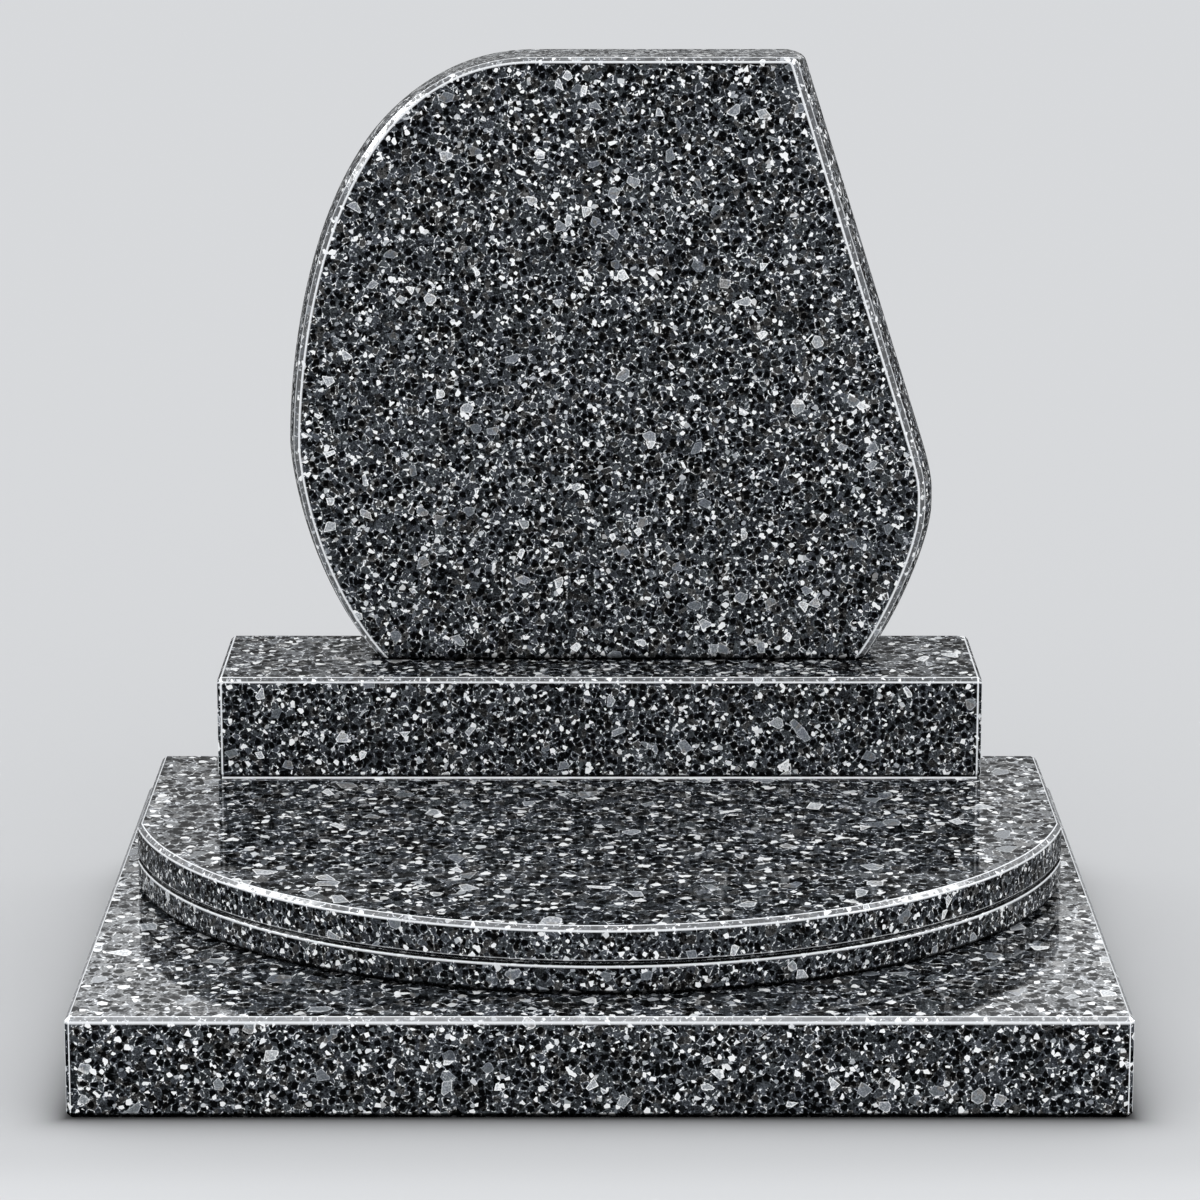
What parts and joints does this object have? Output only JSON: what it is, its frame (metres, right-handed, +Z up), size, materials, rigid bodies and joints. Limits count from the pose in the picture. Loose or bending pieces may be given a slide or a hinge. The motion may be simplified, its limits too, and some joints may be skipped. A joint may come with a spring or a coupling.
{
  "type": "headstone",
  "caption": "Granite headstone: an asymmetric upright tablet on a long plinth, over a bow-fronted step and a broad rectangular base slab.",
  "frame": {"origin": "on the ground, under the middle of the base slab", "axes": "+Z up, +X to the right of someone facing the memorial, -Y towards them"},
  "size_m": [0.943, 0.826, 0.8692],
  "materials": {
    "granite_slab": "polished dark speckled granite",
    "granite_step": "polished dark speckled granite",
    "granite_plinth": "polished dark speckled granite",
    "granite_tablet": "polished dark speckled granite"
  },
  "bodies": {
    "root": {"base_slab": "granite_slab", "lower_step": "granite_step", "upper_step": "granite_step", "plinth": "granite_plinth", "tablet": "granite_tablet"}
  },
  "joints": []
}
